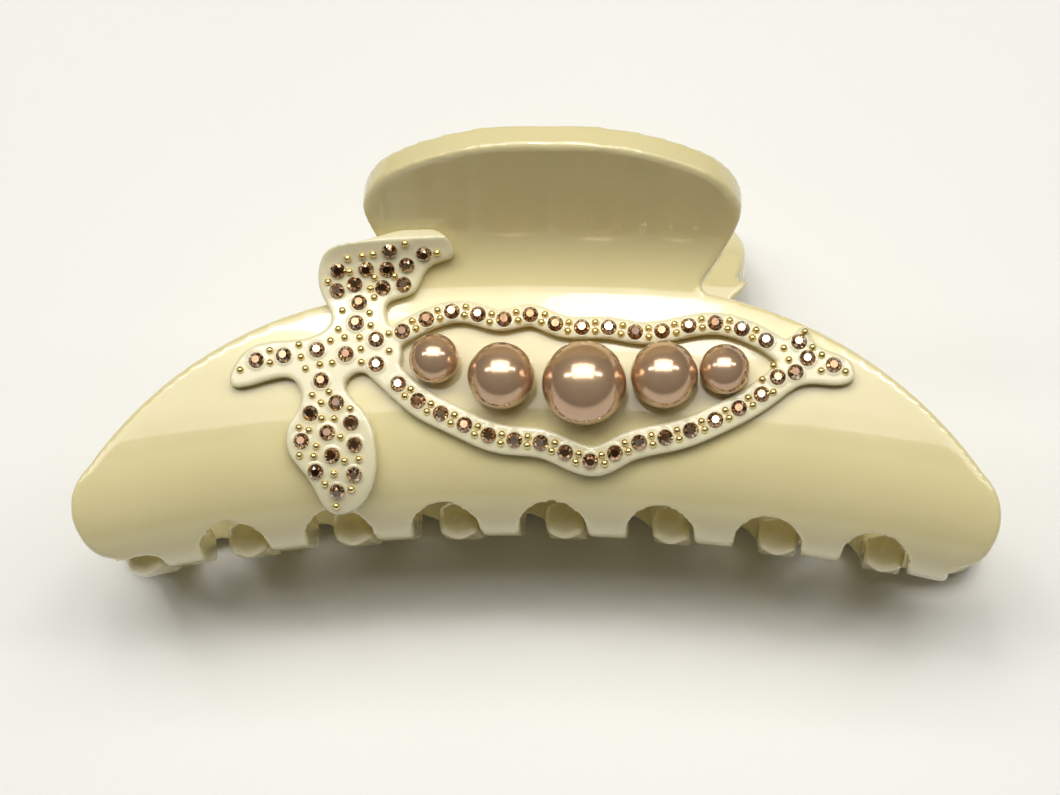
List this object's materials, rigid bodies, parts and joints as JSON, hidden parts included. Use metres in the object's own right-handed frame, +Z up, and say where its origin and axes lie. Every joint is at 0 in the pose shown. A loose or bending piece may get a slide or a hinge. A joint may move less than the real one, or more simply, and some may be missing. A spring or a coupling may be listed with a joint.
{
  "type": "claw hair clip",
  "caption": "Large claw hair clip: two curved toothed shells with handles, hinged on a sprung pin, with a raised pea-pod relief set with stones, beads and pearls.",
  "frame": {"origin": "middle of the bounding box's footprint, on the surface that the clip lies on", "axes": "+X along the clip, +Y towards the handles, +Z up; the clip lies on its rear shell with the decorated front shell up, and its own mid-plane is tilted 18 degrees about X"},
  "size_m": [0.1114, 0.0608, 0.0576],
  "materials": {
    "jaw": "glossy cream acetate, solid colour, polished edges",
    "relief": "glossy cream acetate, a shade lighter than the shells",
    "stone": "faceted, foil-backed, smoky topaz",
    "bead": "polished gold-coloured half-round studs",
    "pearl": "champagne-bronze pearl lacquer, mirror-glossy",
    "steel": "bright drawn wire"
  },
  "bodies": {
    "rear": {"rear_jaw": "jaw", "rear_hinge_lugs": "jaw", "hinge_pin": "steel", "torsion_spring": "steel"},
    "front": {"front_jaw": "jaw", "front_hinge_lugs": "jaw", "pod_relief": "relief", "stones_upper_leaf": "stone", "stones_calyx": "stone", "stones_lower_leaf": "stone", "stones_pod_upper": "stone", "stones_pod_lower": "stone", "stones_pod_tip": "stone", "beads_upper_leaf": "bead", "beads_calyx": "bead", "beads_lower_leaf": "bead", "beads_pod_upper": "bead", "beads_pod_lower": "bead", "beads_pod_tip": "bead", "pearl_1": "pearl", "pearl_2": "pearl", "pearl_3": "pearl", "pearl_4": "pearl", "pearl_5": "pearl"}
  },
  "joints": [
    {"name": "jaw_hinge", "type": "hinge", "parent": "rear", "child": "front", "pos_m": [0.0023, -0.00037, 0.0225], "axis": [-1, 0, 0], "range_deg": [0, 60], "stiffness_Nm_per_rad": 0.25, "springref_deg": -34.38, "deforming": ["torsion_spring"]}
  ]
}
